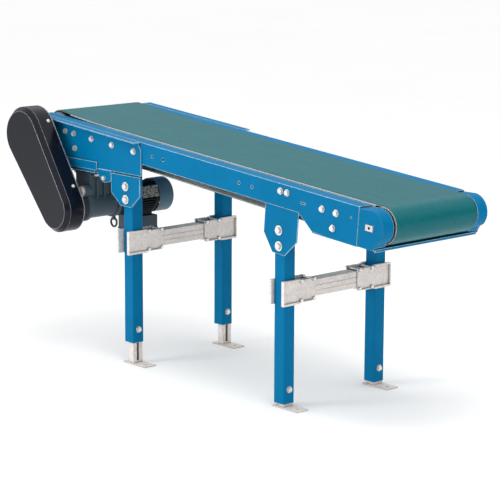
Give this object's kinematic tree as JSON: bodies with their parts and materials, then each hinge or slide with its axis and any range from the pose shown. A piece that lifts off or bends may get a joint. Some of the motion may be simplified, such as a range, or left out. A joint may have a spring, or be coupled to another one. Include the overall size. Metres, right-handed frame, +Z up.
{
  "type": "belt conveyor",
  "caption": "Short sloping belt conveyor on four telescopic legs, with a chain-driven head drum and a gearmotor slung under its head end.",
  "frame": {"origin": "on the floor, at the centre of the four anchor holes of the feet", "axes": "+Z up; X along the conveyor with the drive end at -X; -Y is the side of the chain guard. The bed rises 4.7 degrees towards -X."},
  "size_m": [1.8788, 0.673, 0.9224],
  "materials": {
    "blue_paint": "semi-gloss powder coat, blue",
    "galvanised": "zinc-coated sheet, dull",
    "zinc_fasteners": "bright zinc plate",
    "bare_steel": "machined steel",
    "housing_iron": "painted cast iron",
    "belt_cover": "dark green, smooth satin cover",
    "belt_fabric": "woven polyester, cream",
    "lagging_rubber": "dark rubber",
    "guard_black": "matt black powder coat",
    "motor_paint": "blue-grey enamel",
    "cowl_paint": "blue-grey enamel",
    "black_plastic": "matt",
    "plate_aluminium": "blank plate"
  },
  "bodies": {
    "frame": {"bearing_bolts": "zinc_fasteners", "bearing_housings": "housing_iron", "bearing_inserts": "bare_steel", "belt_cover": "belt_cover", "belt_fabric": "belt_fabric", "cable_gland": "black_plastic", "chain": "bare_steel", "clamp_bolts": "zinc_fasteners", "clamp_shells": "galvanised", "cross_bars": "galvanised", "cross_members": "galvanised", "fan_cowl": "cowl_paint", "foot_clamp_bolts": "zinc_fasteners", "gearbox_feet_bolts": "zinc_fasteners", "gearbox_housing": "motor_paint", "gearbox_plug": "zinc_fasteners", "guard_back": "guard_black", "guard_bracket": "blue_paint", "guard_cover": "guard_black", "guard_screws": "zinc_fasteners", "head_plate_far": "blue_paint", "head_plate_near": "blue_paint", "leg_bolts": "zinc_fasteners", "leg_brackets_head": "blue_paint", "leg_brackets_tail": "blue_paint", "leg_tubes": "blue_paint", "lifting_eye": "zinc_fasteners", "motor_bracket": "blue_paint", "motor_frame": "motor_paint", "nameplate": "plate_aluminium", "rail_bolts": "zinc_fasteners", "roller_bearings": "bare_steel", "side_rail_far": "blue_paint", "side_rail_near": "blue_paint", "slider_bed": "galvanised", "snub_axle": "bare_steel", "stator": "bare_steel", "tail_axle": "bare_steel", "tail_caps": "blue_paint", "tail_guard": "blue_paint", "take_up_plates": "blue_paint", "terminal_box": "motor_paint", "terminal_lid": "motor_paint"},
    "drum": {"drum_shell": "bare_steel", "drum_lagging": "lagging_rubber", "drive_shaft": "bare_steel", "driven_sprocket": "bare_steel"},
    "tail_drum": {"tail_roller": "bare_steel"},
    "snub": {"snub_roller": "bare_steel"},
    "gear_output": {"output_shaft": "bare_steel", "drive_sprocket": "bare_steel", "output_gear": "bare_steel"},
    "gear_layshaft": {"layshaft": "bare_steel"},
    "motor_rotor": {"rotor": "bare_steel", "cooling_fan": "black_plastic"},
    "foot_hn": {"foot_head_near": "galvanised"},
    "foot_hf": {"foot_head_far": "galvanised"},
    "foot_tn": {"foot_tail_near": "galvanised"},
    "foot_tf": {"foot_tail_far": "galvanised"}
  },
  "joints": [
    {"name": "drum_spin", "type": "hinge", "parent": "frame", "child": "drum", "pos_m": [-0.945, 0, 0.83222], "axis": [0, 1, 0], "continuous": true},
    {"name": "tail_spin", "type": "hinge", "parent": "frame", "child": "tail_drum", "pos_m": [0.7595, 0, 0.68305], "axis": [0, 1, 0], "continuous": true},
    {"name": "snub_spin", "type": "hinge", "parent": "frame", "child": "snub", "pos_m": [-0.86649, 0, 0.73767], "axis": [0, 1, 0], "continuous": true},
    {"name": "gear_output_spin", "type": "hinge", "parent": "frame", "child": "gear_output", "pos_m": [-0.758, 0, 0.56116], "axis": [0, 1, 0], "continuous": true},
    {"name": "layshaft_spin", "type": "hinge", "parent": "frame", "child": "gear_layshaft", "pos_m": [-0.758, 0, 0.60116], "axis": [0, 1, 0], "continuous": true},
    {"name": "rotor_spin", "type": "hinge", "parent": "frame", "child": "motor_rotor", "pos_m": [-0.758, 0, 0.56116], "axis": [0, 1, 0], "continuous": true},
    {"name": "foot_head_near_slide", "type": "slide", "parent": "frame", "child": "foot_hn", "axis": [0, 0, -1], "range_m": [-0.066, 0.054]},
    {"name": "foot_head_far_slide", "type": "slide", "parent": "frame", "child": "foot_hf", "axis": [0, 0, -1], "range_m": [-0.066, 0.054]},
    {"name": "foot_tail_near_slide", "type": "slide", "parent": "frame", "child": "foot_tn", "axis": [0, 0, -1], "range_m": [0, 0.12]},
    {"name": "foot_tail_far_slide", "type": "slide", "parent": "frame", "child": "foot_tf", "axis": [0, 0, -1], "range_m": [0, 0.12]}
  ],
  "couplings": [
    {"joint": "tail_spin", "follows": "drum_spin", "ratio": 1},
    {"joint": "snub_spin", "follows": "drum_spin", "ratio": -2.3694},
    {"joint": "gear_output_spin", "follows": "drum_spin", "ratio": 1.5},
    {"joint": "layshaft_spin", "follows": "drum_spin", "ratio": -3.5},
    {"joint": "rotor_spin", "follows": "drum_spin", "ratio": 10.5}
  ]
}
